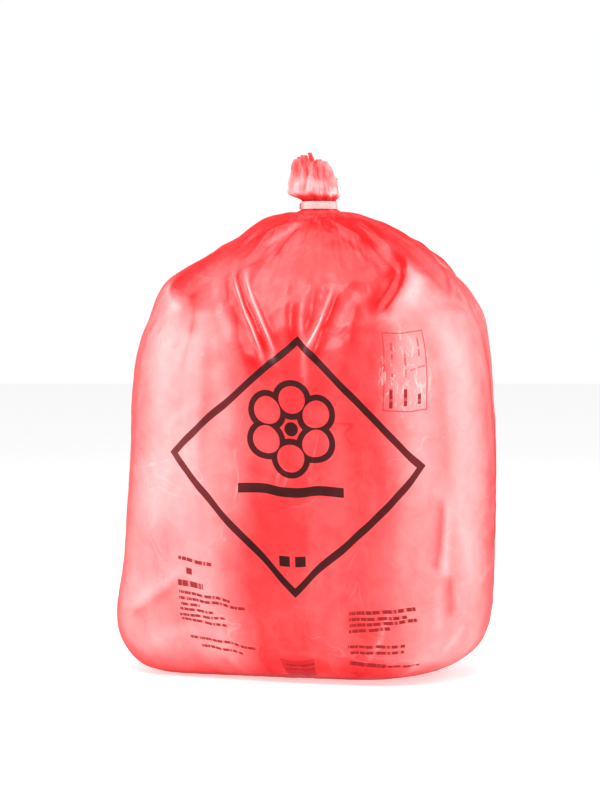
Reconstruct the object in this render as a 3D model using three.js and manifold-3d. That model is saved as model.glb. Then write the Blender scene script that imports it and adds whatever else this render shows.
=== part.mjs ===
// A filled clinical waste bag of thin red film, standing on its base, with its mouth gathered into a neck,
// closed by a plastic strip tie, and the spare film bunched above the tie.
// Millimetres, +Z up. The origin is on the floor under the middle of the bag, and the printed face looks along -Y.

import * as THREE from "three";
import { mergeVertices } from "three/addons/utils/BufferGeometryUtils.js";
import Module from "manifold-3d";

// The standing bag
const BODY_WIDTH = 450;
const BODY_DEPTH = 326;
const TIE_HEIGHT = 551; // from the floor to the middle of the strip tie
const NECK_OFFSET = 15; // the neck stands this far to the right of the middle
const NECK_RADIUS = 20;
const NECK_MARGIN = 2; // round neck left bare above and below the tie
const BODY_ROUNDNESS = 0.86; // of a cross-section: 1 is an ellipse, and less is squarer
const FRONT_SKEW = 0.3; // how much further the foot reaches out at the front right, and less at the front left
const SKEW_HEIGHT = 200; // where that has died away

// The pleats that run from the neck over the shoulders
const PLEATS = 14;
const PLEAT_DEPTH = 5;
const PLEAT_WAVER = 0.9; // how unevenly they are spaced
const PLEAT_START = 175; // under the neck, where they begin to show
const PLEAT_FULL = 20; // under the neck, where they are deepest
const PLEAT_END = 12; // under the neck, where they begin to fade into it

// The deep single folds. Each runs through places on the face that it is seen on: how far to the right of the middle
// for the front and the back, or towards the back for the flanks, and how high. A rise below 0 is a hollow.
const FOLDS = [
  { face: "front", width: 10, rise: 3.4, line: [[-92, 478], [-66, 432], [-48, 384]] },
  { face: "front", width: 9, rise: -4.4, line: [[-108, 470], [-84, 424], [-68, 380]] },
  { face: "front", width: 9, rise: -5, line: [[128, 486], [108, 460], [84, 424]] },
  { face: "front", width: 15, rise: 3, line: [[150, 470], [128, 444], [112, 418]] },
  { face: "front", width: 7, rise: 3.4, line: [[18, 440], [2, 398], [-4, 366]] },
  { face: "front", width: 7, rise: -3, line: [[34, 446], [20, 404], [12, 372]] },
  { face: "front", width: 7, rise: 4, line: [[8, 531], [34, 519], [60, 500]] },
  { face: "front", width: 16, rise: -4.4, line: [[-162, 470], [-134, 466], [-100, 484]] },
  { face: "back", width: 10, rise: 3.8, line: [[112, 474], [94, 432], [100, 386]] },
  { face: "back", width: 9, rise: -4.2, line: [[62, 500], [50, 456], [56, 410]] },
  { face: "back", width: 10, rise: 3.8, line: [[-40, 500], [-52, 452], [-44, 404]] },
  { face: "back", width: 9, rise: -4.2, line: [[-92, 488], [-100, 440], [-90, 392]] },
  { face: "right", width: 10, rise: 3.8, line: [[-14, 486], [-24, 436], [-18, 384]] },
  { face: "right", width: 9, rise: -4, line: [[22, 490], [16, 440], [24, 392]] },
  { face: "left", width: 10, rise: 3.8, line: [[14, 486], [22, 434], [14, 380]] },
  { face: "left", width: 9, rise: -4, line: [[-24, 484], [-18, 436], [-28, 390]] },
];
const FOLD_FADE = 0.3; // the share of a fold, at each end, over which it rises

// The spare film bunched above the tie. Heights are over the top of the neck, and lean is how far the middle of the
// tuft lies to the right of the neck.
const TUFT = [
  { radius: 31, height: 8, lean: -7 },
  { radius: 28, height: 21, lean: -7 },
  { radius: 25, height: 34, lean: -8 },
  { radius: 20, height: 46, lean: -11 },
];
const TUFT_CROWN = { height: 54, lean: -13 };
const TUFT_DEPTH_RATIO = 0.84; // front to back, beside side to side
const TUFT_LOBES = 11;
const TUFT_LOBE_DEPTH = 5;
const TUFT_LOBE_WAVER = 1.3;

// The strip tie
const TIE_WIDTH = 9;
const TIE_THICKNESS = 1.4;
const TIE_GAP = 0.3; // between the strip and the neck, and between two flat faces that only touch
const TIE_CHAMFER = 0.3;
const HEAD_LENGTH = 11; // along the strip
const HEAD_HEIGHT = 11.5;
const HEAD_DEPTH = 5.5;
const HEAD_CHAMFER = 1;
const HEAD_ANGLE = 1.9; // round the neck from +X, towards the back
const TAIL_LENGTH = 12; // what is left of the strip past its head
const TAIL_THICKNESS = 1.2;
const TAIL_WIDTH = 7;
const TAIL_SEAT = 0.6; // how far out it leaves the head, as a share of the head's depth

// How finely the film is faceted
const COLUMNS = 96;
const BASE_RINGS = 2;
const RINGS_PER_STRETCH = 3;
const TIE_SEGMENTS = 48;

const NECK_BOTTOM = TIE_HEIGHT - TIE_WIDTH / 2 - NECK_MARGIN;
const NECK_TOP = TIE_HEIGHT + TIE_WIDTH / 2 + NECK_MARGIN;
const LEFT_REACH = BODY_WIDTH / 2 + NECK_OFFSET;
const RIGHT_REACH = BODY_WIDTH / 2 - NECK_OFFSET;
const FACE_REACH = BODY_DEPTH / 2;

// The bag's outline in four directions from the neck's axis. The first number of a pair is how far the film lies
// inside the widest reach of that direction. The second is its height over the floor up to the flank, and its
// drop under the neck from the shoulder on.
const SIDES = {
  left: {
    reach: LEFT_REACH,
    foot: 56,
    low: [[26, 10], [0, 52], [7, 126], [15, 240]],
    high: [[16, 228], [26, 157], [43, 110], [55, 86], [115, 48], [158, 20], [177, 7]],
  },
  right: {
    reach: RIGHT_REACH,
    foot: 94,
    low: [[46, 14], [12, 43], [2, 115], [0, 190]],
    high: [[2, 230], [4, 175], [13, 128], [34, 90], [71, 50], [111, 24], [152, 6]],
  },
  front: {
    reach: FACE_REACH,
    foot: 84,
    low: [[35, 15], [8, 58], [0, 130], [4, 230]],
    high: [[9, 220], [16, 165], [28, 125], [45, 88], [72, 52], [100, 24], [128, 6]],
  },
  back: {
    reach: FACE_REACH,
    foot: 46,
    low: [[15, 18], [2, 62], [0, 140], [3, 236]],
    high: [[7, 222], [13, 168], [25, 128], [42, 90], [70, 52], [98, 25], [127, 6]],
  },
};

function smoothStep(low, high, value) {
  return THREE.MathUtils.smoothstep(value, low, high);
}

// One direction's outline, from the middle of the base to the foot of the neck.
function sideOutline({ reach, foot, low, high }) {
  const base = new THREE.LineCurve3(new THREE.Vector3(0, 0, 0), new THREE.Vector3(reach - foot, 0, 0));
  const wall = new THREE.CatmullRomCurve3(
    [
      base.v2,
      ...low.map(([inset, height]) => new THREE.Vector3(reach - inset, height, 0)),
      ...high.map(([inset, drop]) => new THREE.Vector3(reach - inset, NECK_BOTTOM - drop, 0)),
      new THREE.Vector3(NECK_RADIUS, NECK_BOTTOM, 0),
    ],
    false,
    "centripetal",
  );
  const wallPoints = wall.getPoints((low.length + high.length + 1) * RINGS_PER_STRETCH);
  return [...base.getPoints(BASE_RINGS), ...wallPoints.slice(1)];
}

// The tuft's outline, from the top of the neck to its crown: radius, height over the floor and lean.
function tuftOutline() {
  const anchors = TUFT.map(({ radius, height, lean }) => new THREE.Vector3(radius, NECK_TOP + height, lean));
  const crown = new THREE.Vector3(0, NECK_TOP + TUFT_CROWN.height, TUFT_CROWN.lean);
  const foot = new THREE.Vector3(NECK_RADIUS, NECK_TOP, 0);
  const curve = new THREE.CatmullRomCurve3([foot, ...anchors, crown], false, "centripetal");
  return curve.getPoints((TUFT.length + 1) * RINGS_PER_STRETCH);
}

const outlines = {
  left: sideOutline(SIDES.left),
  right: sideOutline(SIDES.right),
  front: sideOutline(SIDES.front),
  back: sideOutline(SIDES.back),
};
const tuft = tuftOutline();
const BODY_RINGS = outlines.left.length;
const RING_COUNT = BODY_RINGS + tuft.length;

function signedPower(value, power) {
  return Math.sign(value) * Math.abs(value) ** power;
}

// 0 on a ridge of film and 1 in the valley between two, unevenly spaced round the neck.
function valley(angle, count, waver) {
  return 0.5 - 0.5 * Math.cos(count * angle + waver * Math.sin(3 * angle + 1));
}

// How far a place lies from a fold's line, and how far along it, from 0 to 1.
function placeOnFold(line, across, height) {
  const spot = new THREE.Vector2(across, height);
  const way = new THREE.CatmullRomCurve3(line.map(([x, z]) => new THREE.Vector3(x, z, 0)));
  let best = { gap: Infinity, share: 0 };
  const steps = 12;
  for (let step = 0; step <= steps; step += 1) {
    const point = way.getPoint(step / steps);
    const gap = spot.distanceTo(new THREE.Vector2(point.x, point.y));
    if (gap < best.gap) {
      best = { gap, share: step / steps };
    }
  }
  return best;
}

// How far all the single folds together raise the film at a point.
function foldRise(point, outward) {
  let sum = 0;
  for (const { face, width, rise, line } of FOLDS) {
    const flank = face === "left" || face === "right";
    const facing = flank ? outward.x : outward.y;
    const faced = face === "front" || face === "left" ? -facing : facing;
    if (faced > 0) {
      const { gap, share } = placeOnFold(line, flank ? point.y : point.x, point.z);
      const fade = smoothStep(0, FOLD_FADE, share) * smoothStep(0, FOLD_FADE, 1 - share);
      sum += rise * fade * smoothStep(0, FOLD_FADE, faced) * Math.exp(-((gap / width) ** 2));
    }
  }
  return sum;
}

// A point of the body's film, at a ring counted from the base and an angle from +X round to the back.
function bodyPoint(ring, angle) {
  const cosine = Math.cos(angle);
  const sine = Math.sin(angle);
  const side = (cosine < 0 ? outlines.left : outlines.right)[ring];
  const face = (sine < 0 ? outlines.front : outlines.back)[ring];
  const height = side.y * cosine * cosine + face.y * sine * sine;
  const drop = NECK_BOTTOM - height;
  const nearNeck = 1 - smoothStep(PLEAT_FULL, PLEAT_START, drop);
  const corner = THREE.MathUtils.lerp(BODY_ROUNDNESS, 1, nearNeck);
  const inset = PLEAT_DEPTH * nearNeck * smoothStep(0, PLEAT_END, drop) * valley(angle, PLEATS, PLEAT_WAVER);
  const skew = sine < 0 ? -FRONT_SKEW * Math.sin(2 * angle) * (1 - smoothStep(0, SKEW_HEIGHT, height)) : 0;
  const point = new THREE.Vector3(
    NECK_OFFSET + side.x * signedPower(cosine, corner) - inset * cosine,
    face.x * signedPower(sine, corner) * (1 + skew) - inset * sine,
    height,
  );
  const outward = point.clone().sub(new THREE.Vector3(NECK_OFFSET, 0, TIE_HEIGHT / 2)).normalize();
  return point.addScaledVector(outward, foldRise(point, outward));
}

function tuftPoint(ring, angle) {
  const { x: radius, y: height, z: lean } = tuft[ring];
  const spread = smoothStep(0, TUFT[0].height, height - NECK_TOP);
  const lobed = spread * Math.min(1, radius / NECK_RADIUS);
  const reach = radius - TUFT_LOBE_DEPTH * lobed * valley(angle, TUFT_LOBES, TUFT_LOBE_WAVER);
  const depthRatio = THREE.MathUtils.lerp(1, TUFT_DEPTH_RATIO, spread);
  return new THREE.Vector3(
    NECK_OFFSET + lean + reach * Math.cos(angle),
    depthRatio * reach * Math.sin(angle),
    height,
  );
}

// The bag as one closed surface: a lathe's grid of rings and columns, with each point put on the film.
function bagGeometry() {
  const profile = [];
  for (let ring = 0; ring < RING_COUNT; ring += 1) {
    const onAxis = ring === 0 || ring === RING_COUNT - 1;
    profile.push(new THREE.Vector2(onAxis ? 0 : 1, ring));
  }
  const geometry = new THREE.LatheGeometry(profile, COLUMNS);
  const points = geometry.getAttribute("position");
  for (let column = 0; column <= COLUMNS; column += 1) {
    const angle = (2 * Math.PI * (column % COLUMNS)) / COLUMNS;
    for (let ring = 0; ring < RING_COUNT; ring += 1) {
      const point = ring < BODY_RINGS ? bodyPoint(ring, angle) : tuftPoint(ring - BODY_RINGS, angle);
      points.setXYZ(column * RING_COUNT + ring, point.x, point.y, point.z);
    }
  }
  geometry.computeVertexNormals();
  return geometry;
}

const wasm = await Module();
wasm.setup();

function solidOf(geometry) {
  const bare = geometry.clone();
  bare.deleteAttribute("normal");
  bare.deleteAttribute("uv");
  const merged = mergeVertices(bare);
  return new wasm.Manifold(
    new wasm.Mesh({
      numProp: 3,
      vertProperties: merged.getAttribute("position").array,
      triVerts: new Uint32Array(merged.index.array),
    }),
  );
}

function geometryOf(solid) {
  const mesh = solid.getMesh();
  const geometry = new THREE.BufferGeometry();
  geometry.setAttribute("position", new THREE.BufferAttribute(mesh.vertProperties, 3));
  geometry.setIndex(new THREE.BufferAttribute(mesh.triVerts, 1));
  geometry.computeVertexNormals();
  return geometry;
}

// A bar with its four long edges taken off, centred on the origin, along Z.
function chamferedBar(width, depth, height, chamfer) {
  const [x, y] = [width / 2, depth / 2];
  const outline = new THREE.Shape();
  outline.moveTo(chamfer - x, -y);
  outline.lineTo(x - chamfer, -y);
  outline.lineTo(x, chamfer - y);
  outline.lineTo(x, y - chamfer);
  outline.lineTo(x - chamfer, y);
  outline.lineTo(chamfer - x, y);
  outline.lineTo(-x, y - chamfer);
  outline.lineTo(-x, chamfer - y);
  outline.closePath();
  const bar = new THREE.ExtrudeGeometry(outline, { depth: height, bevelEnabled: false });
  bar.translate(0, 0, -height / 2);
  return bar;
}

// The strip tie, centred on the neck's axis at the middle of its width, with its head on +X before it is turned.
function tieGeometry() {
  const inner = NECK_RADIUS + TIE_GAP;
  const outer = inner + TIE_THICKNESS;
  const half = TIE_WIDTH / 2;
  const section = [
    [inner, TIE_CHAMFER - half],
    [inner + TIE_CHAMFER, -half],
    [outer - TIE_CHAMFER, -half],
    [outer, TIE_CHAMFER - half],
    [outer, half - TIE_CHAMFER],
    [outer - TIE_CHAMFER, half],
    [inner + TIE_CHAMFER, half],
    [inner, half - TIE_CHAMFER],
    [inner, TIE_CHAMFER - half],
  ].map(([radius, height]) => new THREE.Vector2(radius, height));
  const strip = new THREE.LatheGeometry(section, TIE_SEGMENTS);
  strip.rotateX(Math.PI / 2);

  const head = chamferedBar(HEAD_DEPTH, HEAD_LENGTH, HEAD_HEIGHT, HEAD_CHAMFER);
  head.translate(inner + TIE_GAP + HEAD_DEPTH / 2, 0, 0);

  const tail = chamferedBar(TAIL_THICKNESS, TAIL_LENGTH, TAIL_WIDTH, TIE_CHAMFER);
  tail.translate(inner + TIE_GAP + HEAD_DEPTH * TAIL_SEAT, HEAD_LENGTH / 2 + TAIL_LENGTH / 2 - HEAD_CHAMFER, 0);

  return geometryOf(solidOf(strip).add(solidOf(head)).add(solidOf(tail)));
}

const film = new THREE.MeshStandardMaterial({ color: 0xe8262b, roughness: 0.36, metalness: 0 });
const clearPlastic = new THREE.MeshStandardMaterial({ color: 0xf1dcd8, roughness: 0.42, metalness: 0 });

const bag = new THREE.Mesh(bagGeometry(), film);
bag.name = "bag";

const neckTie = new THREE.Mesh(tieGeometry(), clearPlastic);
neckTie.name = "neck_tie";
neckTie.position.set(NECK_OFFSET, 0, TIE_HEIGHT);
neckTie.rotation.z = HEAD_ANGLE;

const wasteBag = new THREE.Group();
wasteBag.add(bag, neckTie);

export default wasteBag;
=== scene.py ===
import math

import bmesh
import bpy
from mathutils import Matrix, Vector, geometry, noise
from mathutils.bvhtree import BVHTree
from mathutils.kdtree import KDTree


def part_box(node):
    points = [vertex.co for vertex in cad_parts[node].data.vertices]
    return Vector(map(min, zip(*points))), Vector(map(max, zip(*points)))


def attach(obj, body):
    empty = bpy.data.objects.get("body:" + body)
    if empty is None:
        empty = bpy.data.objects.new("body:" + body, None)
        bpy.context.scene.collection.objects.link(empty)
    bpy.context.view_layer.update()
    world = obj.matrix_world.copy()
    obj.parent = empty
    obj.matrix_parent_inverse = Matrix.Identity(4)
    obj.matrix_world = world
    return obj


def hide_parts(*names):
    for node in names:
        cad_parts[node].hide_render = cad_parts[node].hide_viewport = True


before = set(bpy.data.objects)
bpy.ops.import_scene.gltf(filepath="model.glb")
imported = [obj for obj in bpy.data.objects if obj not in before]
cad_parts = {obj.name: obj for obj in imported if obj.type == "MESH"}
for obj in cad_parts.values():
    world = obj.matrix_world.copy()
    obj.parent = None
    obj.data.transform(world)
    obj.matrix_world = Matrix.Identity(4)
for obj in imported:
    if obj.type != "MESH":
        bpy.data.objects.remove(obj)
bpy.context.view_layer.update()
MM = 0.001
tie_low, tie_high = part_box("neck_tie")

# The photograph's camera
CAMERA_DISTANCE = 3.0
CAMERA_ELEVATION = math.radians(2)
CAMERA_TARGET = Vector((-0.0077, 0, 0.321))
VIEW_HEIGHT = 0.949  # what the picture's height takes in at the target
LIGHTS_AIM = Vector((0, 0, 0.3))
FLOOR_SIZE = 12
ROOM_SEEN = 1.02  # how bright the white room is to the camera
ROOM_LIGHT = 0.5  # how much light it gives
ROOM_GLOSS = 0.16  # how bright the room is in the film's reflections

# The film's grid: columns round the tube, and rows from the middle of the base to the inside of the mouth
COLUMNS = 208
BASE_ROWS = 7
WALL_ROWS = 84
NECK_ROWS = 5
TUFT_ROWS = 15
MOUTH_ROWS = 8
PRINT_LEVEL = 0.2  # the height at which the columns stand an equal way apart
PRINT_HEIGHT = 0.235  # where that level is on the flat film

# The neck, as the tie holds it
NECK = Vector((15 * MM, 0, (tie_low.z + tie_high.z) / 2))
NECK_RADIUS = 20 * MM
NECK_HALF = 6.5 * MM
NECK_FOLDS = 27
NECK_FOLD_DEPTH = 1.3 * MM
HEART = Vector((NECK.x, 0, 0.25))  # a point inside from which all of the body's film is in sight

# The tuft of spare film above the tie, in mm over the neck
TUFT_FOLDS = 11
TUFT_HEIGHTS = (27, 43, 47, 50, 53, 50, 49, 54, 57, 49, 47)  # of each fold's top
TUFT_RADII = ((0, 20), (6, 32), (20, 30.5), (33, 27), (45, 22), (53, 16))  # height, radius
TUFT_LEANS = ((0, 0), (8, -7), (20, -7), (33, -8), (46, -11), (54, -13))  # height, lean
TUFT_DEPTH = 0.86  # front to back, beside side to side
MOUTH_WALL = 0.7 * MM
MOUTH_FLOOR = 9 * MM


def smooth(low, high, value):
    share = min(1, max(0, (value - low) / (high - low)))
    return share * share * (3 - 2 * share)


def along(pairs, value):
    """Reads a line of (place, number) pairs at a place between them."""
    for (low, start), (high, end) in zip(pairs, pairs[1:]):
        if value <= high:
            return start + (end - start) * (value - low) / (high - low)
    return pairs[-1][1]


def new_object(name, mesh):
    thing = bpy.data.objects.new(name, mesh)
    bpy.context.scene.collection.objects.link(thing)
    return thing


def baked(thing, name):
    """The object's mesh with its modifiers worked into it, as a new object in its place."""
    evaluated = thing.evaluated_get(bpy.context.evaluated_depsgraph_get())
    mesh = bpy.data.meshes.new_from_object(evaluated)
    bpy.data.objects.remove(thing)
    mesh.name = name
    return new_object(name, mesh)


# The film's slack: how much larger it was cut than the solid that it is gathered onto
BODY_SLACK = 0.003
SHOULDER_SLACK = 0.012
BODY_HOLD = 0.35  # how firmly the contents hold the film, of 1
SHOULDER_HOLD = 0.22
LUMP_DEPTH = 3.5 * MM
LUMPS_PER_METRE = 9
PLEAT_START = 0.8 * MM  # the first ripple of the slack film, which its simulation makes into folds
FILM_REACH = 9 * MM  # the furthest that the simulation may move the film
STEPS = 14

# Folds, in the film's own mm: along the tube from the middle of its face, and up from its base. Each has
# the points that it runs through, its width, and its height, which is below 0 for a groove.
FACE_FOLDS = (
    # the two bright pleats down from the left of the neck, and the hollows beside them
    (((-146, 512), (-129, 490), (-82, 443), (-57, 403), (-48, 380)), 4.0, 3.0),
    (((-122, 515), (-109, 496), (-67, 449), (-44, 411), (-36, 388)), 4.0, 3.0),
    (((-155, 500), (-138, 482), (-96, 434), (-72, 392), (-64, 372)), 6.0, -1.8),
    (((-131, 508), (-119, 492), (-75, 446), (-51, 408)), 3.4, -2.6),
    (((-108, 505), (-92, 480), (-50, 438), (-34, 410)), 7.0, -1.6),
    # the deep dent right of the neck and the swell beside it
    (((176, 520), (149, 496), (120, 476), (97, 457)), 6.0, -2.6),
    (((160, 512), (134, 494), (108, 476), (88, 458)), 5.0, 2.4),
    (((205, 515), (176, 490), (145, 466), (128, 440)), 12.0, 1.0),
    # the fan of small pleats that runs to the top of the print
    (((38, 500), (12.5, 450), (-1, 425), (-6, 408)), 3.4, 2.4),
    (((44, 490), (19, 440), (9, 413), (4, 396)), 4.0, -2.8),
    (((-10, 490), (-12, 447), (-6, 428), (-5, 393), (-1, 372)), 3.2, 1.8),
    (((-26, 480), (-23, 440), (-19, 418)), 5.0, -2.2),
    (((8, 500), (2, 455), (-4, 436)), 4.0, -1.8),
    (((62, 498), (40, 455), (30, 420)), 9.0, 1.6),
    (((70, 480), (55, 440), (50, 415)), 5.0, -1.2),
    # the lap right of the neck
    (((0, 606), (40, 588), (92, 557), (118, 540)), 4.5, 2.4),
    (((10, 614), (52, 600), (110, 570), (140, 548)), 6.0, -3.6),
    (((-60, 600), (-100, 570), (-128, 545)), 6.0, 2.4),
    (((-90, 602), (-132, 575), (-165, 545)), 6.0, -2.6),
    (((-40, 588), (-62, 560), (-76, 530)), 4.0, -1.8),
    # small wrinkles on the right shoulder
    (((262, 500), (234, 474), (213, 454)), 3.2, -1.6),
    (((268, 485), (245, 465), (232, 448)), 3.0, -1.4),
    (((275, 495), (252, 470), (240, 455)), 3.0, 1.2),
    # the knee of the left shoulder and the hollow above it
    (((-290, 478), (-250, 476), (-200, 480), (-160, 492)), 14.0, -1.2),
    (((-285, 452), (-262, 456), (-225, 446), (-190, 436)), 8.0, 2.8),
    (((-190, 462), (-165, 440), (-155, 412)), 6.0, -1.8),
    # the long soft folds of the left flank
    (((-200, 450), (-196, 380), (-190, 290), (-186, 190)), 24.0, 2.4),
    (((-135, 430), (-124, 380), (-122, 330), (-124, 250)), 9.0, -1.8),
    (((-158, 436), (-156, 410), (-160, 370)), 5.0, -1.2),
    (((-112, 400), (-100, 350), (-98, 300)), 14.0, 1.6),
    (((-238, 440), (-240, 330), (-244, 180)), 10.0, -1.8),
    # the long soft folds of the right flank
    (((158, 440), (163, 380), (166, 300), (168, 240)), 12.0, -1.6),
    (((200, 450), (208, 360), (212, 250), (208, 150)), 24.0, 2.2),
    (((246, 420), (256, 320), (262, 230), (258, 150)), 6.0, -2.8),
    (((268, 400), (276, 300), (276, 200)), 8.0, 1.8),
    # the lower corners
    (((-240, 96), (-221, 110), (-186, 128), (-150, 150)), 7.0, -1.8),
    (((-236, 112), (-210, 130), (-176, 146), (-150, 160)), 8.0, 1.6),
    (((-230, 70), (-190, 84), (-150, 88)), 9.0, 1.4),
    (((160, 250), (157, 228), (150, 199), (138, 165)), 6.0, -2.6),
    (((172, 250), (168, 215), (158, 180), (150, 150)), 7.0, 1.6),
    (((158, 168), (157, 150), (155, 118)), 6.5, -2.2),
    (((146, 160), (140, 130), (142, 100)), 7.0, 1.2),
    (((180, 110), (165, 90), (152, 76)), 6.0, 1.4),
    (((88, 134), (80, 108), (76, 78)), 3.0, 1.3),
    (((80, 96), (74, 84), (70, 66)), 3.0, 1.2),
    # where the film bunches over the floor
    (((-140, 52), (-132, 34), (-134, 16)), 5.0, -1.8),
    (((-60, 46), (-70, 30), (-66, 14)), 6.0, -1.6),
    (((-20, 50), (-16, 34), (-24, 14)), 5.0, 1.2),
    (((60, 50), (70, 34), (66, 16)), 6.0, -1.6),
    (((120, 70), (128, 50), (122, 30)), 5.0, 1.6),
)
ROUND_FOLDS = (
    # the right side
    (((310, 560), (300, 500), (318, 440), (322, 380)), 6.0, 3.0),
    (((322, 555), (316, 500), (332, 445), (338, 400)), 6.0, -3.0),
    (((345, 570), (362, 510), (358, 450), (366, 390)), 5.0, 2.8),
    (((292, 470), (300, 380), (304, 250), (298, 130)), 20.0, 2.2),
    (((336, 400), (344, 300), (346, 200)), 9.0, -2.0),
    (((384, 430), (392, 330), (388, 210)), 18.0, 2.0),
    (((310, 120), (322, 100), (340, 84)), 6.0, -1.8),
    (((350, 130), (362, 96), (358, 50)), 7.0, 1.8),
    # the left side
    (((-312, 566), (-306, 505), (-322, 450), (-318, 385)), 6.0, 3.2),
    (((-328, 560), (-322, 500), (-340, 452), (-338, 400)), 6.0, -3.0),
    (((-300, 440), (-308, 350), (-304, 220), (-296, 120)), 20.0, 2.2),
    (((-352, 575), (-372, 512), (-364, 440)), 5.0, 2.6),
    (((-345, 390), (-350, 290), (-346, 170)), 9.0, -2.2),
    (((-390, 440), (-398, 330), (-392, 200)), 18.0, 2.0),
    (((-318, 110), (-330, 90), (-352, 76)), 6.0, -1.8),
    (((-372, 120), (-380, 90), (-372, 46)), 7.0, 1.8),
    # the back
    (((430, 580), (448, 520), (440, 462), (452, 410)), 4.5, 3.4),
    (((446, 578), (464, 520), (456, 466), (466, 420)), 5.5, -3.4),
    (((500, 590), (506, 540), (496, 480), (502, 430)), 5.0, 2.6),
    (((520, 585), (530, 530), (520, 476)), 7.0, -3.4),
    (((560, 592), (552, 540), (566, 490), (560, 446)), 4.5, 3.0),
    (((-580, 590), (-570, 540), (-582, 488), (-576, 440)), 5.0, -2.6),
    (((-545, 590), (-556, 535), (-540, 480), (-536, 430)), 4.5, 3.2),
    (((-505, 585), (-512, 530), (-498, 470)), 7.0, -3.2),
    (((-480, 580), (-486, 520), (-470, 460), (-462, 410)), 4.5, 2.6),
    (((-440, 575), (-452, 515), (-436, 455), (-430, 400)), 6.0, -2.4),
    (((440, 400), (448, 300), (446, 190)), 14.0, -1.8),
    (((520, 430), (530, 330), (526, 220), (534, 120)), 22.0, 2.2),
    (((574, 440), (580, 350), (576, 250)), 10.0, -1.6),
    (((-540, 420), (-548, 320), (-544, 200)), 20.0, 2.0),
    (((-470, 400), (-462, 300), (-466, 200)), 12.0, -1.8),
    (((-430, 120), (-446, 100), (-470, 84)), 7.0, -1.8),
    (((450, 120), (466, 96), (486, 84)), 7.0, 1.8),
    (((560, 90), (556, 60), (566, 30)), 6.0, -1.6),
    (((-520, 80), (-512, 52), (-520, 24)), 6.0, 1.6),
)
# Folds that the imported solid has already: here they only paint light and shade on the film
SOLID_FOLDS = (
    (((-150, 505), (-134, 490), (-90, 443), (-66, 400), (-56, 372)), 7.0, -4.0),
    (((-132, 500), (-112, 484), (-70, 440), (-46, 398)), 3.0, -3.0),
    (((178, 512), (149, 496), (120, 476), (95, 455)), 7.5, -5.5),
    (((200, 500), (172, 480), (140, 455)), 12.0, 2.6),
    (((4, 612), (52, 598), (110, 572), (150, 552)), 9.0, -3.0),
    (((-8, 618), (-2, 604), (2, 590)), 4.0, -4.0),
    (((-262, 470), (-225, 462), (-190, 458), (-160, 466)), 11.0, -2.6),
    (((434, 520), (444, 462), (440, 410)), 9.0, 2.0),
    (((510, 540), (520, 480), (514, 420)), 9.0, -2.4),
    (((-556, 540), (-548, 480), (-556, 420)), 9.0, 2.0),
    (((-490, 530), (-480, 470), (-490, 410)), 9.0, -2.4),
)
FOLD_SHADING_RISE = 4 * MM  # the rise that makes a fold's painted highlight, or its painted shade, as strong as it gets
# Wide patches of painted light, where the film is paler, or of painted shade, where it is deeper as the
# strength is below 0: middle, half width and half height, strength
LIGHT_AND_SHADE_PATCHES = (
    ((105, 578), (110, 36), -0.55),
    ((-250, 490), (60, 36), -0.24),
    ((-180, 462), (70, 22), -0.14),
    ((-150, 440), (50, 30), -0.1),
    ((-6, 775), (26, 18), -0.5),
    ((-170, 90), (70, 50), -0.08),
    ((160, 110), (60, 60), -0.1),
    ((-60, 560), (90, 40), 0.1),
    ((-130, 500), (110, 50), 0.1),
    ((110, 48), (70, 22), -0.2),
    ((-10, 45), (45, 20), -0.16),
    ((-196, 360), (44, 110), -0.1),
    ((-110, 250), (50, 90), 0.08),
    ((122, 385), (44, 50), 0.04),
    ((-62, 300), (40, 100), 0.1),
    ((-225, 100), (40, 50), 0.1),
    ((120, 170), (60, 60), 0.06),
    ((235, 260), (44, 190), -0.12),
    ((146, 180), (40, 70), -0.14),
)


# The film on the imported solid

def solid_tree():
    bm = bmesh.new()
    bm.from_mesh(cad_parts["bag"].data)
    bmesh.ops.remove_doubles(bm, verts=bm.verts, dist=0.01 * MM)
    tree = BVHTree.FromBMesh(bm)
    bm.free()
    return tree


def azimuths(tree):
    """The direction of each column from the neck's axis, an equal way apart, from the back round."""
    steps = 720
    ring = []
    for step in range(steps + 1):
        angle = math.pi / 2 + 2 * math.pi * step / steps
        outward = Vector((math.cos(angle), math.sin(angle), 0))
        place, *_ = tree.ray_cast(Vector((NECK.x, 0, PRINT_LEVEL)), outward)
        ring.append((angle, place))
    ways = [0.0]
    for (_, before), (_, after) in zip(ring, ring[1:]):
        ways.append(ways[-1] + (after - before).length)
    girth = ways[-1]
    pairs = [(way, angle) for way, (angle, _) in zip(ways, ring)]
    return girth, [along(pairs, girth * column / COLUMNS) for column in range(COLUMNS + 1)]


def column_way(tree, angle):
    """The points of a column's way up the solid, from the middle of its base to the foot of the neck."""
    foot_of_neck = Vector((NECK_RADIUS * math.cos(angle), NECK_RADIUS * math.sin(angle), 0)) + NECK
    foot_of_neck.z -= NECK_HALF
    top = math.atan2(foot_of_neck.z - HEART.z, NECK_RADIUS)
    steps = 110
    points = [Vector((HEART.x, HEART.y, 0))]
    for step in range(1, steps):
        tilt = -math.pi / 2 + (top + math.pi / 2) * step / steps
        aim = Vector((math.cos(tilt) * math.cos(angle), math.cos(tilt) * math.sin(angle), math.sin(tilt)))
        place, *_ = tree.ray_cast(HEART, aim)
        points.append(place)
    points.append(foot_of_neck)
    lengths = [0.0]
    for before, after in zip(points, points[1:]):
        lengths.append(lengths[-1] + (after - before).length)
    foot = next(i for i, point in enumerate(points) if point.z > 0.3 * MM) - 1
    return points, lengths, foot


def point_at(points, lengths, way):
    for i in range(1, len(points)):
        if way <= lengths[i]:
            share = (way - lengths[i - 1]) / max(1e-9, lengths[i] - lengths[i - 1])
            return points[i - 1].lerp(points[i], share)
    return points[-1].copy()


def fold_at(angle):
    """Where an angle is in the tuft's folds: the fold's number, and 0 on its ridge to 1 in the valley."""
    phase = TUFT_FOLDS * angle / (2 * math.pi) + 0.2 * math.sin(2 * angle + 0.6) + 0.12 * math.sin(5 * angle)
    number = math.floor(phase + 0.5)
    return number % TUFT_FOLDS, 2 * abs(phase - number)


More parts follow.
